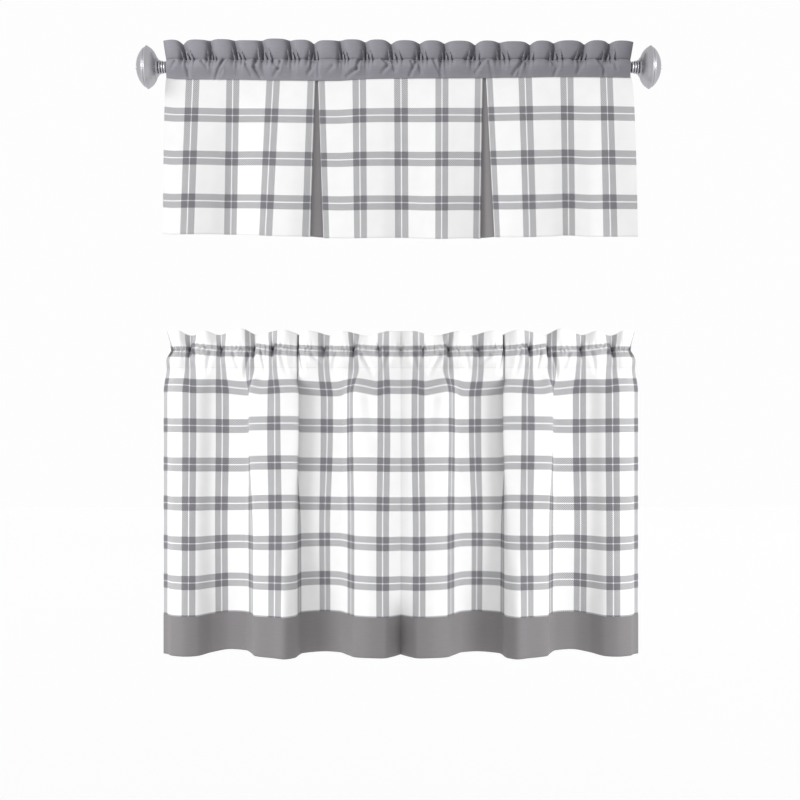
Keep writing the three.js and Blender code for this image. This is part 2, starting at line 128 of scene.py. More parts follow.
studio = dict(
    backdrop=0.985,         # how bright the plain white behind the curtains shows
    skyLight=0.84,          # how much the same white lights the curtains
    floorDepth=-2000,       # a kitchen floor, well under the hems
    floorReach=14000,       # from its middle to each side
    floorGlow=0.234,        # the floor is lit like the backdrop
    boxes=[                 # soft boxes, for the heading, each rod end, the valance and each tier
        dict(name="softHead", at=(-1750, -1950, 420), aim=(0, 0, 15), wide=700, high=500, watts=84),
        dict(name="endLeft", at=(-1750, -1800, 60), aim=(-480, 0, 0), wide=560, high=1000, watts=66),
        dict(name="endRight", at=(1750, -1800, 60), aim=(480, 0, 0), wide=560, high=1000, watts=66),
        dict(name="softKey", at=(-5750, -3750, 3770), aim=(0, 0, -130), wide=2250, high=1750, watts=330),
        dict(name="softLeft", at=(-1910, -1414, -330), aim=(-225, 0, -830), wide=800, high=900, watts=30),
        dict(name="softRight", at=(1920, -1414, -330), aim=(234, 0, -830), wide=800, high=900, watts=30),
    ],
)
world = bpy.data.worlds.new("studioSky")
scene.world = world
world.use_nodes = True
sky = world.node_tree
seen = put(sky, "ShaderNodeLightPath")
strength = put(sky, "ShaderNodeMapRange", {"Value": seen.outputs["Is Camera Ray"],
                                           "To Min": studio["skyLight"], "To Max": studio["backdrop"]})
wire(sky, sky.nodes["Background"], {"Color": linear("#FFFFFF"), "Strength": strength.outputs[0]})
lit = {}        # what each box lights
for box in studio["boxes"]:
    lamp = bpy.data.lights.new(box["name"], "AREA")
    lamp.shape = "RECTANGLE"
    lamp.size = box["wide"] * mm
    lamp.size_y = box["high"] * mm
    lamp.energy = box["watts"]
    holder = bpy.data.objects.new(box["name"], lamp)
    holder.location = [c * mm for c in box["at"]]
    aim = Vector([(a - b) * mm for a, b in zip(box["aim"], box["at"])])
    holder.rotation_euler = aim.to_track_quat("-Z", "Y").to_euler()
    scene.collection.objects.link(holder)
    lit[box["name"]] = bpy.data.collections.new(box["name"] + "Lights")
    holder.light_linking.receiver_collection = lit[box["name"]]

side = studio["floorReach"] * mm
corners = [(-side, -side), (side, -side), (side, side), (-side, side)]
floorMesh = bpy.data.meshes.new("studioFloor")
floorMesh.from_pydata([(x, y, studio["floorDepth"] * mm) for x, y in corners], [], [(0, 1, 2, 3)])
floor = bpy.data.objects.new("studioFloor", floorMesh)
scene.collection.objects.link(floor)
paint, tree, shader = blank("matt studio paint")
grain = put(tree, "ShaderNodeTexNoise", {"Scale": 3, "Detail": 2})
tone = toned(tree, grain.outputs["Fac"], (0, linear("#F1F1F2")), (1, linear("#F6F6F7")))
wire(tree, shader, {"Base Color": tone, "Roughness": 0.9, "Specular IOR Level": 0.1,
                    "Emission Color": linear("#FFFFFF"), "Emission Strength": studio["floorGlow"]})
floorMesh.materials.append(paint)
print("studio ready")


# finishes

def wovenBump(tree, flat, depth):
    # warp and weft threads crossing, as a normal for the shader
    thread = 1.3                    # real threads are 0.4 mm apart; drawn coarser so that they show
    waveLength = math.pi / 10       # from band to band of a wave texture at scale 1
    warp, weft = [put(tree, "ShaderNodeTexWave", {"Vector": flat, "Scale": waveLength / (thread * mm)},
                      bands_direction=direction).outputs["Fac"] for direction in ("X", "Y")]
    bump = put(tree, "ShaderNodeBump", {"Height": maths(tree, "MAXIMUM", warp, weft), "Strength": 0.25,
                                        "Distance": depth * mm})
    return bump.outputs["Normal"]


# Polyester-cotton plain weave, piece dyed grey: matt, a little lighter and darker from thread
# to thread, with faint slubs along the weft.
def greyWeave(name, colour, dark, light):
    material, tree, shader = blank(name)
    flat = put(tree, "ShaderNodeUVMap", uv_map="clothFlat").outputs["UV"]
    slubLength, slubWidth = 26, 2.2
    stretched = put(tree, "ShaderNodeMapping",
                    {"Vector": flat, "Scale": (1 / (slubLength * mm), 1 / (slubWidth * mm), 1)})
    slub = put(tree, "ShaderNodeTexNoise", {"Vector": stretched.outputs["Vector"], "Scale": 1, "Detail": 3})
    tone = toned(tree, slub.outputs["Fac"],
                 (0.25, linear(dark)), (0.5, linear(colour)), (0.75, linear(light)))
    wire(tree, shader, {"Base Color": tone, "Roughness": 0.82, "Specular IOR Level": 0.25,
                        "Sheen Weight": 0.12, "Sheen Roughness": 0.5, "Normal": wovenBump(tree, flat, 0.25)})
    return material


# Yarn-dyed cotton twill, white with grey stripes both ways. A stripe is half grey threads, so
# it reads as a half tone with a diagonal grain, and it is solid grey where two stripes cross.
def plaidTwill(name, warpPitch, weftPitch, pair, line):
    material, tree, shader = blank(name)
    flat = put(tree, "ShaderNodeUVMap", uv_map="clothFlat").outputs["UV"]
    axes = put(tree, "ShaderNodeSeparateXYZ", {"Vector": flat})

    def softEdge(value, start, end, low=0, high=1):
        limits = {"From Min": start * mm, "From Max": end * mm, "To Min": low, "To Max": high}
        return put(tree, "ShaderNodeMapRange", {"Value": value, **limits},
                   interpolation_type="SMOOTHSTEP").outputs[0]

    soft = 0.45             # a stripe's edge runs over one or two threads
    stripes = []
    for axis, pitch in (("X", warpPitch), ("Y", weftPitch)):
        away = maths(tree, "PINGPONG", axes.outputs[axis], pitch / 2 * mm)
        outer = softEdge(away, pair / 2 + soft, pair / 2 - soft)
        inner = softEdge(away, line / 2 - soft, line / 2 + soft)
        stripes.append(maths(tree, "MULTIPLY", outer, inner))
    twill = 4               # real twill lines are 0.8 mm apart; drawn coarser so that the grain shows
    slant = maths(tree, "ADD", axes.outputs["X"], axes.outputs["Y"])
    wale = maths(tree, "PINGPONG", slant, twill / 2 * mm)
    warpUp = softEdge(wale, 0.12 * twill, 0.38 * twill, 0.2, 0.8)
    shown = put(tree, "ShaderNodeMix", {0: warpUp, 2: stripes[1], 3: stripes[0]})
    amount = maths(tree, "MULTIPLY", shown.outputs[0], 1.25, use_clamp=True)     # full grey on a twill line
    cloudSize = 35
    cloud = put(tree, "ShaderNodeTexNoise", {"Vector": flat, "Scale": 1 / (cloudSize * mm), "Detail": 4})
    white, grey = [toned(tree, cloud.outputs["Fac"], (0.3, linear(dark)), (0.7, linear(light)))
                   for dark, light in (("#E5E5E5", "#E9E9E9"), ("#707075", "#77767B"))]
    colour = put(tree, "ShaderNodeMix", {0: amount, 6: white, 7: grey}, data_type="RGBA")
    wire(tree, shader, {"Base Color": colour.outputs[2], "Roughness": 0.85, "Specular IOR Level": 0.2,
                        "Sheen Weight": 0.05, "Normal": wovenBump(tree, flat, 0.2)})
    return material


# Spun polyester sewing thread: a soft strand that catches a little light.
def sewingThread(name, colour):
    material, tree, shader = blank(name)
    twistLength = 1.5
    twist = put(tree, "ShaderNodeTexNoise", {"Scale": 1 / (twistLength * mm), "Detail": 1})
    shade = [0.85 * c for c in linear(colour)[:3]] + [1]
    tone = toned(tree, twist.outputs["Fac"], (0, shade), (1, linear(colour)))
    wire(tree, shader, {"Base Color": tone, "Roughness": 0.6})
    return material


# Nickel-plated steel with a satin finish, turned: faint rings round the axis spread the
# highlights along it, and the recesses are painted darker than the edges: painted shade.
def satinNickel(name, colour, recessShade):
    material, tree, shader = blank(name)
    place = put(tree, "ShaderNodeTexCoord")
    ringPitch = 0.9         # real turning marks are ten times finer; drawn so that they show
    squashed = put(tree, "ShaderNodeMapping",
                   {"Vector": place.outputs["Object"], "Scale": (1 / (ringPitch * mm), 6, 6)})
    rings = put(tree, "ShaderNodeTexNoise", {"Vector": squashed.outputs["Vector"], "Scale": 1, "Detail": 3})
    marks = rings.outputs["Fac"]
    edge = put(tree, "ShaderNodeNewGeometry")
    # painted shade: hollows, where pointiness is low, take the darker recess colour
    tone = toned(tree, edge.outputs["Pointiness"], (0.44, linear(recessShade)), (0.52, linear(colour)))
    gloss = put(tree, "ShaderNodeMapRange", {"Value": marks, "To Min": 0.36, "To Max": 0.44})
    bump = put(tree, "ShaderNodeBump", {"Height": marks, "Strength": 0.04, "Distance": 0.2 * mm})
    wire(tree, shader, {"Base Color": tone, "Metallic": 1, "Roughness": gloss.outputs[0],
                        "Normal": bump.outputs["Normal"]})
    return material


headingGrey = greyWeave("grey plain weave, heading", "#6D6C72", "#6A696F", "#706F75")
borderGrey = greyWeave("grey plain weave, border", "#7F7C7E", "#7D7A7C", "#817E80")
# the inset's grey is a lighter copy of the border's: painted light, against the shade it sits in behind the
# panels
insetGreyLightened = greyWeave("grey plain weave, inset, painted lighter against its shade", "#868385", "#848183", "#888587")
valancePlaid = plaidTwill("yarn-dyed plaid twill, valance", 81.2, 81.5, 26.5, 2.1)
tierPlaid = plaidTwill("yarn-dyed plaid twill, tier", 73.3, 73.2, 26, 2.1)
whiteThread = sewingThread("white sewing thread", "#DDDDE0")
# the pocket seam's thread sits in its seam; its darker copy of the white thread is painted shade
seamThreadShaded = sewingThread("white sewing thread, painted with its seam's shade", "#B4B4B9")
greyThread = sewingThread("grey sewing thread", "#77767C")
# the second colour is painted shade for the recesses
nickel = satinNickel("satin nickel, turned", "#B9B8BC", "#959499")
print("finishes ready")


# tables, curves and meshes

def table(columns, *rows):
    # rows of numbers under the names of their columns
    names = columns.split()
    return [dict(zip(names, row)) for row in rows]


def curve(rows, key, along="flat"):
    # smooth line through one column of a table, which never swings past its rows
    x = np.array([row[along] for row in rows], float)
    y = np.array([row[key] for row in rows], float)
    rise = np.diff(y) / np.diff(x)
    before = np.concatenate(([rise[0]], rise))
    after = np.concatenate((rise, [rise[-1]]))
    same = before * after > 0
    slope = np.where(same, 2 * before * after / np.where(same, before + after, 1), 0)

    def at(place):
        place = np.asarray(place, float)
        i = np.clip(np.searchsorted(x, place, side="right") - 1, 0, len(x) - 2)
        span = x[i + 1] - x[i]
        t = (place - x[i]) / span
        blend = t * t * (3 - 2 * t)
        bend = t * (1 - t) * span
        return y[i] * (1 - blend) + y[i + 1] * blend + bend * ((1 - t) * slope[i] - t * slope[i + 1])
    return at


def curves(rows):
    # one for each column beside the place on the flat cloth
    return {key: curve(rows, key) for key in rows[0] if key != "flat"}


def smooth(t):
    t = np.clip(t, 0, 1)
    return t * t * (3 - 2 * t)


def between(depth, span):
    return smooth((depth - span[0]) / (span[1] - span[0]))


def swell(part, power):
    # nothing at both ends of a part, full in its middle
    return max(0, math.sin(math.pi * part)) ** power


def troughs(across, down, rows):
    # soft troughs along short lines, deepest where they start, with slightly raised shoulders
    fade, shoulder, tail = 0.6, 0.9, 0.8
    dent = np.zeros(np.broadcast(across, down).shape)
    for row in rows:
        runX, runZ = row["toX"] - row["x"], row["toZ"] - row["z"]
        part = ((across - row["x"]) * runX + (down - row["z"]) * runZ) / (runX ** 2 + runZ ** 2)
        near = np.clip(part, 0, 1)
        away = np.hypot(across - row["x"] - near * runX, down - row["z"] - near * runZ)
        away = (away / row["wide"]) ** 2
        dent = dent + row["deep"] * (1 - fade * near) * (1 - shoulder * away) * np.exp(-tail * away)
    return dent


def addPiece(name, verts, faces, material, sharpest=None):
    mesh = bpy.data.meshes.new(name)
    mesh.from_pydata(verts, [], faces)
    mesh.shade_smooth()
    if sharpest:
        mesh.set_sharp_from_angle(angle=math.radians(sharpest))
    mesh.materials.append(material)
    piece = bpy.data.objects.new(name, mesh)
    scene.collection.objects.link(piece)
    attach(piece, "root")
    return piece


def sewSheet(name, x, out, z, flatX, flatZ, thick, material):
    # one sheet from a grid of rows down and columns across, with a face, a back and a rim
    points = np.stack(np.broadcast_arrays(x, -out, z), axis=-1)
    rows, cols = points.shape[:2]
    count = rows * cols
    normal = np.cross(np.gradient(points, axis=0), np.gradient(points, axis=1))
    normal /= np.linalg.norm(normal, axis=-1, keepdims=True) + 1e-12
    verts = np.concatenate([(points + s * thick / 2 * normal).reshape(-1, 3) for s in (1, -1)]) * mm
    grid = np.arange(count).reshape(rows, cols)
    face = np.stack([grid[:-1, :-1], grid[1:, :-1], grid[1:, 1:], grid[:-1, 1:]], axis=-1).reshape(-1, 4)
    back = face[:, ::-1] + count
    edge = np.concatenate([grid[0, ::-1], grid[1:, 0], grid[-1, 1:], grid[-2:0:-1, -1]])
    onward = np.roll(edge, -1)
    rim = np.stack([onward, edge, edge + count, onward + count], axis=-1)
    faces = np.concatenate([face, back, rim])
    piece = addPiece(name, verts.tolist(), faces.tolist(), material, sharpest=65)

    def addMap(label, places):
        layer = piece.data.uv_layers.new(name=label)
        layer.uv.foreach_set("vector", places.astype(np.float32).ravel())

    flatMap = np.stack(np.broadcast_arrays(flatX, flatZ, x)[:2], axis=-1).reshape(-1, 2) * mm
    addMap("clothFlat", flatMap[faces.reshape(-1) % count])
    # a packed map for baking: the face on the left half, the back on the right half
    margin = 0.01
    j, i = np.divmod(np.arange(count), cols)
    packed = np.stack([margin + (0.5 - 2 * margin) * i / (cols - 1),
                       margin + (1 - 2 * margin) * j / (rows - 1)], axis=-1)
    packed = np.concatenate([packed, packed + [0.5, 0]])
    addMap("OFBake", packed[np.concatenate([face.reshape(-1), back.reshape(-1), rim.reshape(-1) % count])])
    return piece


def foldOver(strip, topGap):
    # a strip folded over at its free edge: up the back, over, and down the front. Each of its rows,
    # from the lip up, is x, middle, half thickness, z, place on the flat cloth, and dent in front
    x, middle, half, z, flat, dent = [np.array([row[k] for row in strip]) for k in range(6)]
    far = slice(None, None, 2)      # the back needs half the rows
    return (np.vstack([x[far], x[-1:], x[::-1]]),
            np.vstack([(middle - half)[far], middle[-1:], (middle + half - dent)[::-1]]),
            np.vstack([z[far], z[-1:] + topGap, z[::-1]]),
            np.vstack([(2 * flat[-1:] - flat)[far], flat[-1:], flat[::-1]]))


def tubeFaces(rings, sides, first=0):
    # joins rings of points into a tube, closed at both ends
    faces = []
    for ring in range(rings - 1):
        for k in range(sides):
            p, q = first + ring * sides + k, first + ring * sides + (k + 1) % sides
            faces.append((p, q, q + sides, p + sides))
    last = first + (rings - 1) * sides
    return faces + [tuple(first + k for k in reversed(range(sides))), tuple(last + k for k in range(sides))]


def stitchRow(name, x, out, z, stitch, material):
    # separate stitches laid end to end along a line on the cloth
    line = np.stack([x, -(out + stitch["lift"]), z], axis=-1)
    reach = np.concatenate(([0], np.cumsum(np.linalg.norm(np.diff(line, axis=0), axis=1))))
    rings = ((0, 0.35), (0.2, 1), (0.8, 1), (1, 0.35))      # part of its length, share of its radius
    sides = 6
    verts, faces = [], []
    for start in np.arange(stitch["pitch"] / 2, reach[-1] - stitch["length"], stitch["pitch"]):
        first, last = [np.array([np.interp(place, reach, line[:, k]) for k in range(3)])
                       for place in (start, start + stitch["length"])]
        aim = (last - first) / np.linalg.norm(last - first)
        up = np.cross(aim, (0, 1, 0))
        up /= np.linalg.norm(up)
        outward = np.cross(up, aim)
        faces += tubeFaces(len(rings), sides, len(verts))
        for part, share in rings:
            for k in range(sides):
                turn = 2 * math.pi * k / sides
                arm = math.cos(turn) * up + math.sin(turn) * outward
                verts.append(tuple((first + (last - first) * part + stitch["radius"] * share * arm) * mm))
    return addPiece(name, verts, faces, material)


# rod, collars and finials, turned about the X axis

rod = dict(radius=8, end=436.7, bevel=0.5, sides=72)
collar = dict(start=437, end=451, rings=[11, 12.2, 13.4], waist=9, groove=0.02, steps=9)
finial = dict(
    start=451.3, sides=112, steps=4,
    outline=table(
        "along radius",
        (0, 15.5), (1.4, 17.4), (3, 19), (6.6, 26.9), (12.5, 34.4), (17.5, 38), (20.1, 39.7), (20.9, 40),
        (22, 39.3), (23.6, 36.9), (24.4, 36.3), (25.4, 36.6), (26.5, 36), (31, 31.4), (36, 23.6),
        (39.6, 14), (41, 4.6), (41.5, 3.2), (42.6, 2.9), (43.4, 1.9), (43.8, 0.3),
    ),
)


def turnedPiece(name, profile, sides, hand, node):
    # profile rows are (along, radius) from the middle of the rod outward
    verts = []
    for along, radius in profile:
        for k in range(sides):
            turn = 2 * math.pi * k / sides * hand
            verts.append((hand * along * mm, radius * math.cos(turn) * mm, radius * math.sin(turn) * mm))
    piece = addPiece(name, verts, tubeFaces(len(profile), sides), nickel, sharpest=50)
    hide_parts(node)


tubeProfile = [(-rod["end"], rod["radius"] - rod["bevel"]), (-rod["end"] + rod["bevel"], rod["radius"]),
               (rod["end"] - rod["bevel"], rod["radius"]), (rod["end"], rod["radius"] - rod["bevel"])]
turnedPiece("rodTube", tubeProfile, rod["sides"], 1, "rod")

ringPitch = (collar["end"] - collar["start"]) / len(collar["rings"])
collarProfile = []
for i, top in enumerate(collar["rings"]):
    for k in range(collar["steps"]):
        t = k / (collar["steps"] - 1)
        bead = math.sqrt(max(0, 1 - (2 * t - 1) ** 2))      # each ring is half round
        along = i + collar["groove"] + (1 - 2 * collar["groove"]) * t
        collarProfile.append((collar["start"] + along * ringPitch,
                              collar["waist"] + (top - collar["waist"]) * bead))
radiusAt = curve(finial["outline"], "radius", "along")
alongs = [row["along"] for row in finial["outline"]]
finialProfile = []
for first, second in zip(alongs, alongs[1:]):
    for k in range(finial["steps"]):
        along = first + (second - first) * k / finial["steps"]
        finialProfile.append((finial["start"] + along, float(radiusAt(along))))
finialProfile.append((finial["start"] + alongs[-1], float(radiusAt(alongs[-1]))))
for place, hand in (("Left", -1), ("Right", 1)):
    turnedPiece("collar" + place, collarProfile, finial["sides"], hand, "collar_" + place.lower())
    turnedPiece("finial" + place, finialProfile, finial["sides"], hand, "finial_" + place.lower())
print("rod and finials ready")


# valance heading: one grey strip folded over the rod, gathered into puffs along the stitch line

heading = dict(
    halfWidth=436, thick=0.7, fullness=1.3, columnStep=1.4,
    stitch=13.7, scallop=1.6,           # height of the stitch line, and its dip between the puffs
    pocketCloth=45, ruffleCloth=40,     # cloth from the lip to the stitches, and on to the free edge
    pocketPuff=1.8,                     # how much fuller the pocket is under the middle of a puff
    rodRoom=1,                          # creases stay this far off the rod
    flare=0.012, ruffleGap=0.7, ruffleFill=2.2, leastFill=0.3, endDip=45,
    stitches=dict(length=2.4, pitch=3.2, radius=0.3, lift=0.35),
    # a puff rises off its seam, leans out, and is full at a part of its height; skew sets its crest
    # a little left of its middle
    puff=dict(seam=1, rise=1.2, riseIn=0.09, lean=2.6, out=8, foot=0.74, fullAt=0.55, skew=0.9, round=2.3,
              topRound=2.6),
    # puffs are parted by gussets, wide and deep at the stitches, narrow half way up, and open a
    # little at the free edge; small pointed pleats stand in each, and it draws in the pocket below
    gusset=dict(narrow=3.4, foot=1.45, open=4, deep=14, shallower=7.5),
    pleats=dict(aside=(-0.72, 0.08, 0.85), wide=0.28, least=0.3, deep=11, tall=0.66),
    pull=dict(deep=4.2, wide=6.5),
    # where each puff begins, the edge's dip there and its crest; then the gusset at its foot: how far
    # aside, and half its width
    puffs=table(
        "x dip top aside wide",
        (-436, 47.7, 47.4,    0,    4),
        (-400, 41.4, 47.7,    5,  9.5),
        (-349, 49.4, 48.4, -1.5,  7.5),
        (-304, 49.4, 46.3,    5,  9.5),
        (-253, 49.4, 49.5,    2,   12),
        (-202, 49.4, 47.4,  4.5,  9.5),
        (-157, 42.8, 46.4,   -4,  8.5),
        (-108, 49.4,   48,    5,  7.5),
        ( -62, 46.2, 47.8,  3.5,  8.5),
        ( -14, 42.5, 46.5,    7,   11),
        (  39, 43.2, 46.2,    3,  9.5),
        (  85, 43.6, 45.6,    5,  8.5),
        ( 142, 40.7, 45.8,   -3, 10.5),
        ( 187, 45.5, 44.6,    8, 10.5),
        ( 244,   41, 45.8,   -3,  9.5),
        ( 288, 44.5, 46.2,    6,   11),
        ( 345, 41.8, 46.4,   -6,  9.5),
        ( 391, 43.3, 45.8,  1.5,   11),
    ),
    lip=table(      # the lower seam wanders a little along the rod
        "x up",
        (-436, -20.5), (-415, -23), (-300, -24), (-200, -25.6), (-120, -26), (-70, -23), (0, -21.5),
        (140, -21), (230, -20), (300, -19), (380, -19.4), (436, -20.5),
    ),
    pocket=table(   # how far the front of the pocket stands off the rod's plane, from lip to stitches
        "part half",
        (0, 3.1), (0.14, 4.6), (0.3, 7.4), (0.46, 10.4), (0.61, 12.2), (0.76, 11.2), (0.89, 7.8),
        (0.965, 4), (1, 0.7),
    ),
    creases=table(  # on the front of the pocket
        "x z toX toZ deep wide",
        (-418,  8, -424,  -3, 3.2, 3.8),
        (-396, 12, -394, -18, 6.5,   4),
        (-368,  9, -359,  -3, 3.6, 3.8),
        (-328, 12, -343, -20, 7.2, 3.8),
        (-331, -8, -336, -18, 3.9, 3.3),
        (-285,  2, -276, -16, 3.8, 3.8),
        (-268, 11, -270,  -3, 7.2,   4),
        (-270, -3, -259, -20, 6.5, 3.8),
        (-236,  9, -225,  -5, 5.1, 3.8),
        (-225, -5, -234, -17, 3.8, 3.8),
        (-221,  9, -224,  -4, 3.9, 3.3),
        (-155, 11, -170, -14, 5.8,   4),
        (-152,  8, -150, -18, 3.6, 3.8),
        (-123, -1, -133, -11, 2.6, 4.2),
        ( -74, 12,  -78,  -5, 6.5,   4),
        ( -78, -5,  -97, -18, 5.7, 3.8),
        ( -29, 13,  -18,   2, 5.7, 3.8),
        ( -18,  2,  -31, -11, 4.9, 3.8),
        ( -11, 11,   -7,  -7, 6.5,   4),
        (  24,  8,   27,  -3, 3.6, 3.3),
        (  35, 11,   21, -16, 5.4,   4),
        (  38,  8,   42, -11, 3.6, 3.3),
        (  65, 13,   76, -11, 4.9, 3.8),
        (  78, 10,   80, -18, 5.8,   4),
        ( 160, 13,  145, -11, 5.8,   4),
        ( 170,  6,  176, -18, 2.8, 4.2),
        ( 234, 12,  215, -14, 6.6,   4),
        ( 228, -1,  224, -16, 3.8, 3.3),
        ( 285, 12,  298,  -1, 5.8, 3.8),
        ( 298, -1,  292, -16, 4.1, 3.8),
        ( 345,  8,  335, -11, 4.9, 3.8),
        ( 373, 13,  382,  -1, 4.9, 3.8),
        ( 384,  8,  386, -16, 5.4, 3.8),
        ( 401,  9,  409,  -6, 3.2, 3.8),
    ),
)

x = np.arange(-heading["halfWidth"], heading["halfWidth"] + 0.1, heading["columnStep"], float)
starts = np.array([row["x"] for row in heading["puffs"]] + [heading["halfWidth"]], float)
dips = np.array([row["dip"] for row in heading["puffs"]] + [heading["endDip"]], float)
tops = np.array([row["top"] for row in heading["puffs"]])
i = np.clip(np.searchsorted(starts, x, side="right") - 1, 0, len(tops) - 1)
part = (x - starts[i]) / (starts[i + 1] - starts[i])
puff = heading["puff"]
hump = 1 - np.abs(2 * np.clip(part, 0, 1) ** puff["skew"] - 1) ** puff["round"]
opened = 1 - np.abs(2 * part - 1) ** puff["topRound"]       # rounded tops with narrow dips between
dip = dips[i] + (dips[i + 1] - dips[i]) * part
top = dip + (tops[i] - dip) * opened
seamZ = heading["stitch"] - heading["scallop"] * (1 - hump) ** 2
lipAt = curve(heading["lip"], "up", "x")
lip = lipAt(x)
pocketHalf = curve(heading["pocket"], "half", "part")


def ruffleAt(rise):
    # the middle of the ruffle's two layers, at a part of its height
    gusset, pleats = heading["gusset"], heading["pleats"]
    left = max(0, 1 - rise / pleats["tall"])
    out = puff["seam"] + puff["rise"] * (1 - math.exp(-rise / puff["riseIn"])) + puff["lean"] * rise
    out = out + puff["out"] * hump * (puff["foot"] + (1 - puff["foot"]) * smooth(rise / puff["fullAt"]))
    for row in heading["puffs"][1:]:
        off = x - row["x"] - row["aside"] * (1 - rise)
        wide = gusset["narrow"] + (gusset["foot"] * row["wide"] - gusset["narrow"]) * left
        wide = wide + gusset["open"] * rise ** 2
        deep = gusset["deep"] - gusset["shallower"] * rise
        out = out - deep * np.exp(-np.abs(off / wide) ** (2 + 2 * left))
        for aside in pleats["aside"]:
            spot = (off - aside * row["wide"]) / (pleats["wide"] * row["wide"] * left + pleats["least"])
            out = out + pleats["deep"] * left * np.exp(-spot ** 4)
    return out


atStitch = ruffleAt(0)
pull = heading["pull"]
pulls = sum(np.exp(-((x - row["x"] - row["aside"]) / pull["wide"]) ** 2) for row in heading["puffs"][1:])
strip = []
for part in np.concatenate([np.linspace(0, 0.8, 15), np.linspace(0.84, 1, 6)]):         # pocket
    middle = atStitch * part ** 4
    z = lip + (seamZ - lip) * part
    half = pocketHalf(part) + heading["pocketPuff"] * hump * swell(part, 1)
    room = half + middle - np.sqrt(np.maximum(0, (rod["radius"] + heading["rodRoom"]) ** 2 - z ** 2))
    dent = troughs(x, z, heading["creases"]) + pull["deep"] * pulls * part
    strip.append((x, middle, half, z, -part * heading["pocketCloth"] + 0 * x, np.minimum(dent, room)))
atSeam = len(strip) - 1
for rise in np.concatenate([np.linspace(0, 0.3, 8)[1:], np.linspace(0.3, 1, 12)[1:]]):      # ruffle
    fill = heading["ruffleFill"] * (heading["leastFill"] + (1 - heading["leastFill"]) * hump)
    strip.append((x * (1 + heading["flare"] * rise), ruffleAt(rise),
                  heading["ruffleGap"] + fill * swell(rise, 0.5), seamZ + (top - seamZ) * rise,
                  -heading["pocketCloth"] - heading["ruffleCloth"] * rise + 0 * x, 0 * x))
gx, gOut, gz, gFlat = foldOver(strip, heading["ruffleGap"])
valanceHeading = sewSheet("valanceHeading", gx, gOut, gz, gx * heading["fullness"], gFlat,
                          heading["thick"], headingGrey)
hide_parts("valance_heading")
seam = len(gx) - 1 - atSeam
headingStitches = stitchRow("headingStitches", gx[seam], gOut[seam], gz[seam],
                            heading["stitches"], greyThread)
print("valance heading ready")


# valance panels, with their slit edges turned back, and the grey insets behind the slits

valance = dict(
    drop=294, thick=0.8, panelOut=2, insetOut=-1.4, swing=1.5, step=3.4,
    seamAllowance=9,                # cloth above the seam, inside the heading
    flare=0.66, flareWidth=12,      # an outer edge flares just below the lip
    returnWidth=14, returnDepth=3.4, returnGap=1.2,
    returnIn=0.25,                  # part of the drop within which a turned edge reaches its depth
    hemWidth=22, hemGap=1.1,
)
# weftAt is from the lip to the first cross stripe; low is how much lower the hem hangs
panels = dict(
    left=dict(drop=-1, turnBack="end", warpAt=50, weftAt=67.4, folds=table(
        "flat top hem out low",
        (    0, -435.5,   -443,  2,   -1),
        (   50, -386.5,   -396, 13, -1.6),
        (   90,   -349, -356.5,  4,   -3),
        (  131, -311.5,   -317, -9, -4.2),
        (  171,   -274,   -283,  8,   -2),
        (  212,   -236, -248.5, 24,  0.6),
        (  252,   -197,   -208, 27,    2),
        (294.5,   -158,   -166, 19,    1),
    )),
    middle=dict(drop=2, turnBack="both", warpAt=-1.6, weftAt=68.7, folds=table(
        "flat top hem out low",
        (    0, -149.5,   -139, 17,   0),
        (   40,   -112, -105.5, 21, 1.6),
        (   79,  -74.5,  -71.5, 24, 4.2),
        (  120,    -35,    -33, 21, 4.5),
        (  161,    4.5,      6, 11, 3.6),
        (  201,     43,     44, 15,   6),
        (  242,   81.5,     80, 22, 7.3),
        (283.5,    119,  116.5, 15, 5.6),
        (324.9,    157,  152.5,  5, 4.7),
    )),
    right=dict(drop=-1, turnBack="start", warpAt=-1.4, weftAt=66.9, folds=table(
        "flat top hem out low",
        (    0,   166,   181, 11, 5.5),
        (   40,   201,   211, 20,   8),
        (   80, 237.5,   244, 25, 8.6),
        (  120,   277,   283, 22,   8),
        (161.5, 316.5, 318.5, 13,   5),
        (202.5,   354,   357, 10,   7),
        (243.5, 391.5, 396.5, 19, 7.5),
        (294.5, 435.5, 447.5, 13,   6),
    )),
)
insets = dict(
    left=dict(drop=0, turnBack="none", warpAt=0, weftAt=0, folds=table(
        "flat top hem out low",
        ( 0, -184, -188,   13, -2.5),
        (34, -166, -160, 12.5, -0.4),
        (56, -148, -140,    9,  0.6),
        (82, -124, -115,    9,    0),
    )),
    right=dict(drop=0, turnBack="none", warpAt=0, weftAt=0, folds=table(
        "flat top hem out low",
        ( 0, 132, 129,   -1, 3.8),
        (28, 152, 154, -2.5,   5),
        (50, 170, 176,    2,   4),
        (78, 192, 206,    6, 2.5),
    )),
)


def turnedAxis(start, length, step, startTurn, endTurn, gap):
    # places along one direction of a cloth whose edges may be folded behind it: where each one
    # lies, how far behind, and its place on the flat cloth
    inner = np.linspace(start, length, max(2, int(round((length - start) / step)) + 1))
    place, behind, flat = inner, np.zeros_like(inner), inner
    for turn, edge, sign in ((startTurn, start, -1), (endTurn, length, 1)):
        if not turn:
            continue
        back = np.linspace(0, turn, max(3, int(round(turn / step)) + 1))
        # the nose of the fold, then the cloth behind
        nose = [edge + sign * 0.35 * gap], [gap / 2], [edge + sign * gap * 0.8]
        rest = edge - sign * (back + 0.2), np.full_like(back, gap), edge + sign * (gap * 1.6 + back)
        folded = [np.concatenate(pair) for pair in zip(nose, rest)]
        both = zip(folded, (place, behind, flat))
        if sign < 0:
            place, behind, flat = [np.concatenate((turned[::-1], own)) for turned, own in both]
        else:
            place, behind, flat = [np.concatenate((own, turned)) for turned, own in both]
    return place, behind, flat


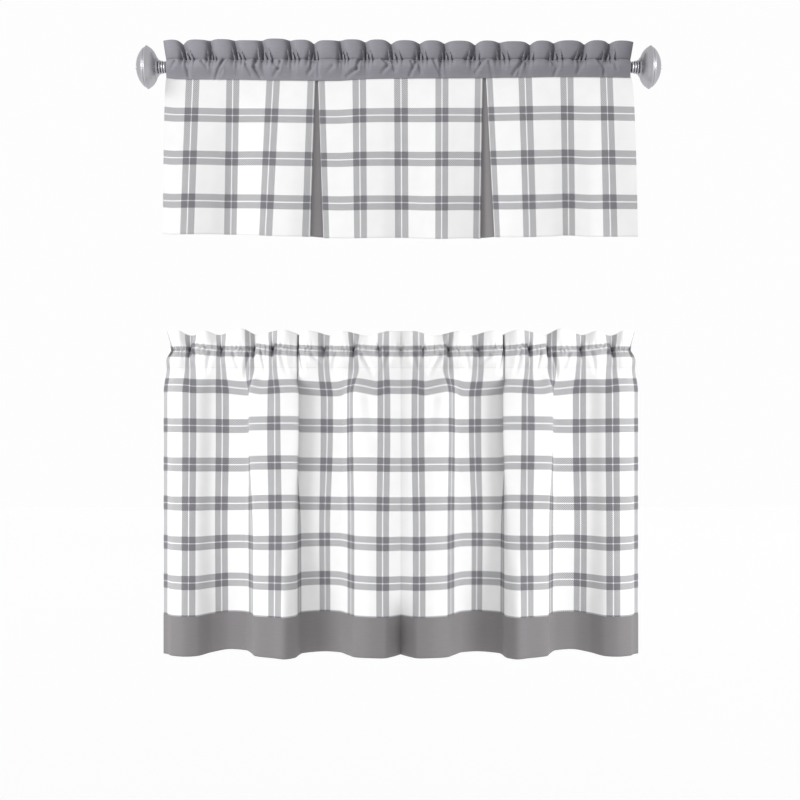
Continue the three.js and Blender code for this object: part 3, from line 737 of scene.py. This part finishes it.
def hangValance(name, node, panel, topOut, material):
    fold = curves(panel["folds"])
    width = panel["folds"][-1]["flat"]
    fall = valance["drop"] + panel["drop"]
    turnBack = panel["turnBack"]
    turns = [valance["returnWidth"] if turnBack in (side, "both") else 0 for side in ("start", "end")]
    across, acrossBack, flatX = turnedAxis(0, width, valance["step"], *turns, valance["returnDepth"])
    down, downBack, flatZ = turnedAxis(-valance["seamAllowance"], fall, valance["step"], 0,
                                       valance["hemWidth"], valance["hemGap"])
    level = np.maximum(down / fall, 0)[:, None]
    spot = np.clip(across, 0, width)[None, :]
    beyond = across[None, :] - spot
    swing = level * (valance["swing"] + (1 - valance["swing"]) * level)
    outer = {"end": spot, "start": width - spot}.get(turnBack, spot + width)
    spread = level ** (1 - valance["flare"] * np.exp(-outer / valance["flareWidth"]))
    top = fold["top"](spot)
    x = top + (fold["hem"](spot) - top) * spread + beyond
    sink = acrossBack[None, :] * smooth(level / valance["returnIn"]) + downBack[:, None]
    sink = sink + valance["returnGap"] * (acrossBack[None, :] > 0)
    out = topOut + (fold["out"](spot) - topOut) * swing - sink
    z = lipAt(np.clip(top, -heading["halfWidth"], heading["halfWidth"])) - down[:, None]
    z = z - fold["low"](spot) * level
    piece = sewSheet(name, x, out, z, flatX[None, :] - panel["warpAt"] + 0 * x,
                     flatZ[:, None] - panel["weftAt"] + 0 * x, valance["thick"], material)
    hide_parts(node)


for place, panel in panels.items():
    hangValance("valancePanel" + place.title(), "valance_panel_" + place, panel,
                valance["panelOut"], valancePlaid)
for place, inset in insets.items():
    hangValance("pleatInset" + place.title(), "pleat_inset_" + place, inset,
                valance["insetOut"], insetGreyLightened)
print("valance panels ready")


# tiers: one cloth each, folded over at the top into a ruffle and an empty rod pocket,
# with a grey border sewn on below

tier = dict(
    centre=4.3, stitch=-531.5, lip=-564.5, length=537.5, border=73.5, thick=0.8,
    columnStep=2.2, rowStep=5.2, stripRows=14,
    ruffleGap=0.6, ruffleFill=1.6, topGap=0.5,
    pocketFull=6, pocketShare=0.28,     # the pocket's bulge, and what each ripple above adds to it
    pocketCloth=42,                     # cloth from the gathering stitches to the pocket's seam
    takeUp=3.3, takeUpIn=6,             # cloth bunched up just above the stitches
    firstWeft=4, hemWidth=25, hemGap=1.2,
    proud=0.5,                          # the border's seam edge lies over the plaid
    tuck=3.2, tuckReach=11,             # the right tier's meeting edge lies a little behind the left one's
    # the outer ends spread past the stitches, fully within a part of the pocket, and more in the ruffle
    endSpread=8.8, endReach=26, endIn=0.625, endRuffle=1.6,
    roll=dict(reach=8, aside=7, back=9),            # the outer edge of the ruffle rolls to the back
    # small uneven gathers along the stitches
    pucker=dict(every=1.6, drift=1.4, over=11, deep=1.7, fine=0.5, wander=2, later=1.7),
    rippleShare=dict(stitch=0.3, lip=0.4, edge=1.35),       # how much of a ripple shows in each line
    pinchShare=dict(lip=0.06, edge=0.15),                   # and of a pinch
    lowWide=1.7, lowShare=0.6, climbIn=9, climbOut=42,      # how the stitches dip and climb at a pinch
    squeezeReach=17, squeezeUp=26, ruffleHigh=30,
    stitches=dict(length=2.3, pitch=3.1, radius=0.28, lift=0.4),
    depths=dict(    # below the pocket, between which
        settle=(0, 50),                     # the gathers settle into folds
        soften=(120, 310),                  # the pleats of the upper part open into soft waves
        deepen=(270, 480),                  # which grow deeper toward the border
        sag=(35, 95), lower=(250, 330),     # the upper part's sag begins, and gives way to the lower part's
        droop=(0, 32), lift=(42, 102),      # the droop under the pocket comes, and goes
        curl=(415, 500),                    # the meeting edges turn back
    ),
    # from the outer edge inward, distances from the meeting line: at the gathered head, in the upper
    # part and at the hem, with how far out; then how much lower the upper part, the lower part and
    # the hem hang
    folds=table(
        "flat head body out hem hemOut sag fall drop",
        (    0, 431.5, 449.5,   -20, 449.5,   -20,    0,  1.2,  1.8),
        (   13, 426.5, 440.5,   -12, 440.5,   -12,    0,  1.2,  1.5),
        ( 37.5,   416,   429,     5,   430,   5.5,    0,  1.2,    1),
        (   64,   404, 405.5,    10, 406.5,  13.5,    0,  1.8,  0.8),
        ( 88.5,   383,   382,   4.5, 383.5,   6.5,  0.5,  2.5,  0.5),
        (  128,   352, 354.5, -11.5,   356, -17.5,  1.2,  2.2, -2.4),
        (  162,   327,   323,   -17,   326,   -27,  1.9,  1.2,   -5),
        (195.5, 300.5, 287.5,   -13,   294,   -21,  1.5,  0.5, -3.3),
        (  220,   284, 285.2,     6, 280.5,     2,   -1,    0, -1.5),
        (246.5, 267.5, 281.5,    21, 271.5,  23.5, -3.5, -0.6,    0),
        (293.5,   241, 234.5,    23,   234,    35, -4.3, -1.3,  2.8),
        (  310, 228.5,   221,    22, 218.5,    40, -4.5, -1.5,  3.8),
        (  342,   204,   191,    17,   198,  22.5, -4.2,   -2,  5.2),
        (  352, 196.5, 193.5,     9, 194.3,    10,   -3, -2.2,  5.7),
        (  361, 194.3,   199,     0, 192.5,  -1.5, -1.6, -2.5,    6),
        (  371,   193,   203,    -5,   191,   -11, -0.4, -2.7,  6.2),
        (  384, 189.5,   194,    -7, 186.5, -17.5,  0.5, -3.8,    6),
        (  440, 144.5,   139,   -10, 143.5, -25.5,  1.2, -4.3,  4.4),
        (477.5, 115.5,   111,  -7.5, 115.5, -16.5,  1.7, -4.3,  4.5),
        (  500,    99,   101,     0,   100,  -1.5,  0.8, -2.5,  4.8),
        (528.5,    77,  87.5,    21,    85,  21.5,   -1, -1.5,  3.7),
        (  560,  53.5,    56,    27,  57.3,  30.5,   -1, -0.6,  2.6),
        (590.5,    30,    28,  25.5,  30.5,  28.5, -0.2,  0.8,  2.2),
        (  607,    15,    13,    25,    15,    26,    0,  0.6,  1.9),
        (  623,   0.7,   0.7,    24,   0.7,    24,    0,    0,  2.2),
    ),
    curls=table(    # how far the meeting edges turn back over the border
        "flat back",
        (0, 0), (560, 0), (590.5, 1.5), (607, 12), (623, 30),
    ),
    droops=table(   # how much lower the cloth hangs just under the pocket
        "flat low",
        (0, -3), (40, -2.8), (64, -2.2), (84, 0), (135, -0.6), (157, 0.5), (190, 4.5), (215, 3),
        (246, -0.8), (270, 3), (293, 1.1), (342, -0.5), (366, 0.5), (385, 2), (446, 5.9), (465, 5.8),
        (492, 0.9), (530, -2.4), (550, 0.8), (572, 4.9), (595, 1.5), (623, 2.2),
    ),
    ripples=table(  # of the ruffle: how far out, and its free edge's height over the stitches
        "flat out top",
        (  0,    0, 32.5),
        ( 37,    6, 35.5),
        ( 77, -5.2, 26.5),
        (107,  5.2,   35),
        (141, -4.5, 27.5),
        (195,    6, 39.5),
        (241,   -6,   28),
        (323,  5.2, 36.5),
        (367, -6.8,   28),
        (406,    6, 35.5),
        (457, -5.2, 26.5),
        (485,  3.8, 34.5),
        (547, -5.2, 26.5),
        (602,  4.5, 34.5),
        (623,  1.5, 34.5),
    ),
    # where the gathers bunch up: place along the stitches, depth, how much they squeeze the cloth
    # together, how far that reaches down, how low they pull the stitches, and how high the stitches
    # climb again past them
    pinches=table(
        "flat deep wide squeeze down low climb",
        ( 73, 15,   5, 0.34,  50,   3, 11),
        (147, 11,   5,  0.2,  40, 1.8,  2),
        (233, 14, 4.5,  0.2,  40,   3, 10),
        (293, 15, 5.5, 0.16, 230,   3,  9),
        (367, 15,   9,    0,  60,   2,  7),
        (440, 11, 5.5,  0.1,  50,   2,  3),
        (513, 14,   5, 0.36,  40, 2.6,  7),
        (575,  8,   5,  0.1,  50,   1,  2),
        (623,  7,   4,    0,  60,   0,  0),
    ),
    # soft creases of the pocket and just under it: place on the flat cloth, depth below the stitches
    creases=table(
        "x z toX toZ deep wide",
        ( 84,  6, 100,  30, 4.9,  5),
        (120,  8, 112,  36, 4.4,  6),
        (178,  8, 190,  34, 4.9,  6),
        (214, 10, 204,  46, 5.4,  6),
        (256, 10, 266,  34, 4.9,  5),
        (316, 10, 326,  40, 4.9,  6),
        (380, 10, 396,  36, 5.4,  5),
        (416, 12, 430,  22, 4.4,  5),
        (470,  8, 462,  34, 4.4,  6),
        (536, 14, 560,  42,   6,  6),
        (600,  8, 590,  34, 4.4,  6),
        (556, 92, 560, 160, 4.5, 13),
    ),
)


def hangTier(place, hand):
    width = tier["folds"][-1]["flat"]
    flat = np.linspace(0, width, int(width / tier["columnStep"]) + 1)
    fold, ripple = [{key: at(flat) for key, at in curves(rows).items()}
                    for rows in (tier["folds"], tier["ripples"])]
    droop = curve(tier["droops"], "low")(flat)
    curl = curve(tier["curls"], "back")(flat)

    # the gathers along the stitches; the two tiers differ
    pucker = tier["pucker"]
    phase = 0 if hand < 0 else pucker["later"]
    gather = flat / pucker["every"] + pucker["drift"] * np.sin(flat / pucker["over"]) + phase
    crinkle = pucker["deep"] * np.sin(gather) * np.sin(0.31 * gather + phase)
    crinkle = crinkle + pucker["fine"] * np.sin(0.43 * gather + 1)
    pinch, low, climb = 0, 0, 0
    for row in tier["pinches"]:
        past = flat - row["flat"]
        pinch = pinch + row["deep"] * np.exp(-(past / row["wide"]) ** 2)
        low = low + row["low"] * np.exp(-(past / row["wide"] / tier["lowWide"]) ** 2)
        climbing = row["climb"] * smooth(past / tier["climbIn"]) * np.exp(-past / tier["climbOut"])
        climb = np.where(past > 0, climbing, climb)
    uneven = 0.5 + 0.5 * np.sin(0.23 * gather)
    wander = climb + pucker["wander"] * np.sin(gather - 0.6) * uneven - tier["lowShare"] * low

    tucked = (tier["tuck"] if hand > 0 else 0) * np.exp(-((width - flat) / tier["tuckReach"]) ** 2)
    ends = tier["endSpread"] * np.exp(-(flat / tier["endReach"]) ** 2)
    roll = tier["roll"]
    rolled = np.exp(-(flat / roll["reach"]) ** 2)
    share, pinchShare = tier["rippleShare"], tier["pinchShare"]
    atStitch = share["stitch"] * ripple["out"] + crinkle - pinch - tucked
    atLip = share["lip"] * ripple["out"] - pinchShare["lip"] * pinch - tucked
    atEdge = share["edge"] * ripple["out"] - pinchShare["edge"] * pinch - tucked
    head = fold["head"] - tucked
    pocketDeep = tier["stitch"] - tier["lip"]

    def squeezed(below):
        # how far the pinches draw the cloth toward themselves, at a depth below the stitches
        total = 0
        for row in tier["pinches"]:
            off = flat - row["flat"]
            fade = 1 - smooth(abs(below) / (row["down"] if below > 0 else tier["squeezeUp"]))
            total = total + row["squeeze"] * fade * off * np.exp(-(off / tier["squeezeReach"]) ** 2)
        return total

    strip = []
    for part in np.linspace(0, 1, tier["stripRows"]):           # pocket, from its seam up to the stitches
        depth = pocketDeep * (1 - part)
        bulge = (tier["pocketFull"] + tier["pocketShare"] * np.maximum(0, ripple["out"])) * swell(part, 0.8)
        strip.append((head + ends * smooth((1 - part) / tier["endIn"]) + squeezed(depth),
                      atLip + (atStitch - atLip) * part ** 4, tier["ruffleGap"] + bulge,
                      tier["lip"] + pocketDeep * part + wander * part ** 0.8,
                      tier["pocketCloth"] * (1 - part) + 0 * flat, troughs(flat, depth, tier["creases"])))
    atSeam = len(strip) - 1
    for rise in np.linspace(0, 1, tier["stripRows"])[1:]:       # ruffle
        height = ripple["top"] * rise
        fill = tier["ruffleFill"] * swell(rise, 0.6)
        spread = (tier["endRuffle"] * ends - roll["aside"] * rolled) * rise
        strip.append((head + spread + squeezed(-tier["ruffleHigh"] * rise),
                      atEdge + (atStitch - atEdge) * (1 - rise) ** 3 - roll["back"] * rolled * rise,
                      tier["ruffleGap"] + fill + 0 * flat, tier["stitch"] + height + wander * (1 - rise),
                      -height - tier["takeUp"] * (1 - np.exp(-height / tier["takeUpIn"])), 0 * flat))
    rowsX, rowsOut, rowsZ, rowsFlat = foldOver(strip, tier["topGap"])
    seamAt = len(rowsX) - 1

    def bodyRow(below):
        at = {key: between(below, span) for key, span in tier["depths"].items()}
        drawn = squeezed(pocketDeep + below)
        start = head + ends + drawn
        distance = fold["body"] + (fold["hem"] - fold["body"]) * at["soften"] - tucked + drawn
        out = fold["out"] + (fold["hemOut"] - fold["out"]) * at["deepen"] - tucked - curl * at["curl"]
        dent = troughs(flat, pocketDeep + below, tier["creases"])
        sag = fold["sag"] * at["sag"] * (1 - at["lower"]) + fold["fall"] * at["lower"]
        sag = sag + droop * at["droop"] * (1 - at["lift"])
        return (start + (distance - start) * at["settle"],
                atLip + tier["ruffleGap"] + (out - atLip) * at["settle"] - dent,
                tier["lip"] - below - sag - fold["drop"] * (below / tier["length"]) ** 5)

    def sewTier(name, gx, gOut, gz, gFlat, material):
        order = slice(None) if hand < 0 else slice(None, None, -1)      # columns always run toward +X
        gx, gOut, gz, gFlat = [np.asarray(grid)[:, order] for grid in (gx, gOut, gz, gFlat)]
        return sewSheet(name, tier["centre"] + hand * gx, gOut, gz, flat[order][None, :] + 0 * gx,
                        gFlat - tier["firstWeft"], tier["thick"], material)

    panelLength = tier["length"] - tier["border"]
    belows = np.linspace(0, panelLength, int(panelLength / tier["rowStep"]))[1:]
    body = [bodyRow(below) for below in belows]
    grids = [np.vstack([top, [row[k] for row in body]]) for k, top in enumerate((rowsX, rowsOut, rowsZ))]
    grids.append(np.vstack([rowsFlat] + [tier["pocketCloth"] + below + 0 * flat for below in belows]))
    cloth = sewTier("tierCloth" + place, *grids, tierPlaid)
    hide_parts("tier_heading_" + place.lower(), "tier_panel_" + place.lower())
    for label, at, thread in (("Gather", seamAt - atSeam, whiteThread), ("Pocket", seamAt, seamThreadShaded)):
        stitchRow("tier" + label + "Stitches" + place, tier["centre"] + hand * rowsX[at],
                                 rowsOut[at], rowsZ[at], tier["stitches"], thread)

    belows, behind, flatZ = turnedAxis(0, tier["border"], tier["rowStep"], 0,
                                       tier["hemWidth"], tier["hemGap"])
    x, out, z = zip(*[bodyRow(panelLength + below) for below in belows])
    out = [row + tier["proud"] - back for row, back in zip(out, behind)]
    border = sewTier("tierBorder" + place, x, out, z, [down + 0 * flat for down in flatZ], borderGrey)
    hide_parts("tier_border_" + place.lower())


hangTier("Left", -1)
hangTier("Right", 1)
print("tiers ready")

for piece in scene.objects:     # each piece is lit by its own box
    if piece.type != "MESH" or piece is floor:
        continue
    place = "Left" if piece.name.endswith("Left") else "Right"
    if piece.name.startswith("tier"):
        box = "soft" + place
    elif piece.name.startswith(("collar", "finial")):
        box = "end" + place
    else:
        box = "softHead" if piece in (valanceHeading, headingStitches) else "softKey"
    lit[box].objects.link(piece)
